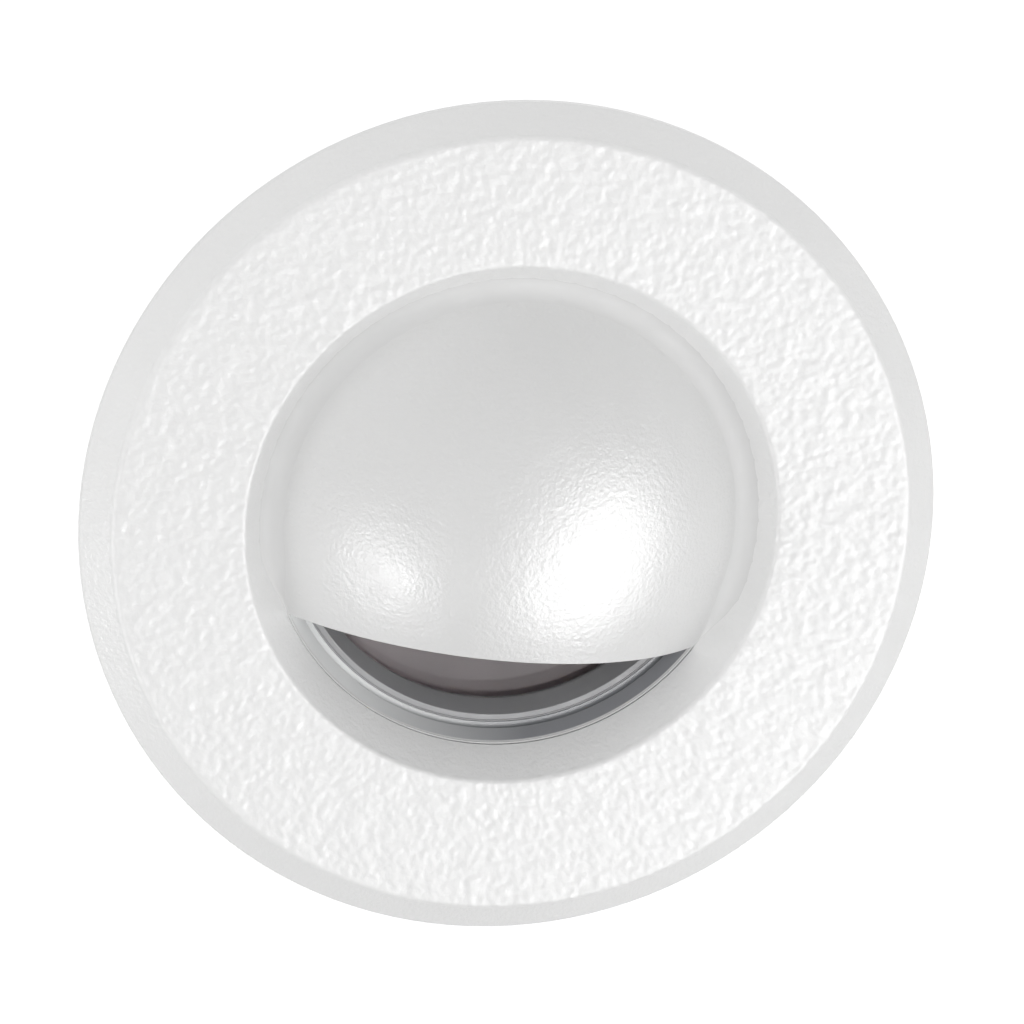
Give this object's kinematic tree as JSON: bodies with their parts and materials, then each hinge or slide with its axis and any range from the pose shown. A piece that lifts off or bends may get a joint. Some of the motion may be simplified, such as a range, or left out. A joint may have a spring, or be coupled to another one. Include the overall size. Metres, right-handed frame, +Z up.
{
  "type": "recessed eyelid path light",
  "caption": "Round recessed path light with a textured flange, a domed eyelid hood with a crescent slot, a finned body and sprung side clips.",
  "frame": {"origin": "on the light's axis, in the plane of the wall's face that the flange seats on, at the front end of the spigot", "axes": "+Y along the light's axis into the wall, so the front faces -Y; +Z up; the hood's slot is on the -Z side"},
  "size_m": [0.08, 0.0659, 0.08],
  "materials": {
    "white_powder_coat": "white powder coat: sand texture on the flange's face, smooth on its edge, recess and hood",
    "cast_aluminium": "die-cast, bare",
    "grey_plastic": "moulded",
    "clear_glass": "tempered, polished",
    "silicone": "moulded silicone",
    "foam_rubber": "closed-cell foam",
    "bright_reflector": "vacuum metallised",
    "zinc_steel": "zinc plated",
    "spring_steel": "drawn wire",
    "circuit_board": "green solder mask",
    "white_board": "white solder mask on aluminium",
    "phosphor": "silicone phosphor on ceramic",
    "thermal_silicone": "soft pad",
    "lead_insulation": "PVC",
    "copper_winding": "enamelled wire on ferrite",
    "capacitor_can": "shrink sleeve",
    "green_plastic": "moulded",
    "black_nylon": "moulded nylon",
    "black_rubber": "dipped sleeve"
  },
  "bodies": {
    "root": {"front_bezel": "white_powder_coat", "eyelid_hood": "white_powder_coat", "glare_ring": "grey_plastic", "glass_front_gasket": "silicone", "cover_glass": "clear_glass", "glass_rear_gasket": "silicone", "reflector_cup": "bright_reflector", "wall_gasket": "foam_rubber", "body_gasket": "silicone", "housing": "cast_aluminium", "bezel_screws": "zinc_steel", "thermal_pad": "thermal_silicone", "led_board": "white_board", "led_package": "phosphor", "led_board_screws": "zinc_steel", "led_leads": "lead_insulation", "driver_board": "circuit_board", "driver_coil": "copper_winding", "driver_capacitors": "capacitor_can", "terminal_block": "green_plastic", "driver_board_screws": "zinc_steel", "rear_cover": "cast_aluminium", "rear_cover_gasket": "silicone", "rear_cover_screws": "zinc_steel", "gland_body": "black_nylon", "gland_washer": "silicone", "gland_lock_nut": "black_nylon", "gland_seal": "silicone", "gland_cap": "black_nylon", "left_clip_bracket": "zinc_steel", "left_clip_screws": "zinc_steel", "left_clip_pin": "zinc_steel", "left_clip_spring": "spring_steel", "right_clip_bracket": "zinc_steel", "right_clip_screws": "zinc_steel", "right_clip_pin": "zinc_steel", "right_clip_spring": "spring_steel"},
    "left_clip": {"left_clip_arm": "zinc_steel", "left_clip_foot": "black_rubber"},
    "right_clip": {"right_clip_arm": "zinc_steel", "right_clip_foot": "black_rubber"}
  },
  "joints": [
    {"name": "left_clip_pivot", "type": "hinge", "parent": "root", "child": "left_clip", "pos_m": [-0.0284, 0.026, 0], "axis": [0, 0, -1], "range_deg": [0, 160], "stiffness_Nm_per_rad": 0.04, "springref_deg": -40.11, "deforming": ["left_clip_spring"]},
    {"name": "right_clip_pivot", "type": "hinge", "parent": "root", "child": "right_clip", "pos_m": [0.0284, 0.026, 0], "axis": [0, 0, 1], "range_deg": [0, 160], "stiffness_Nm_per_rad": 0.04, "springref_deg": -40.11, "deforming": ["right_clip_spring"]}
  ]
}
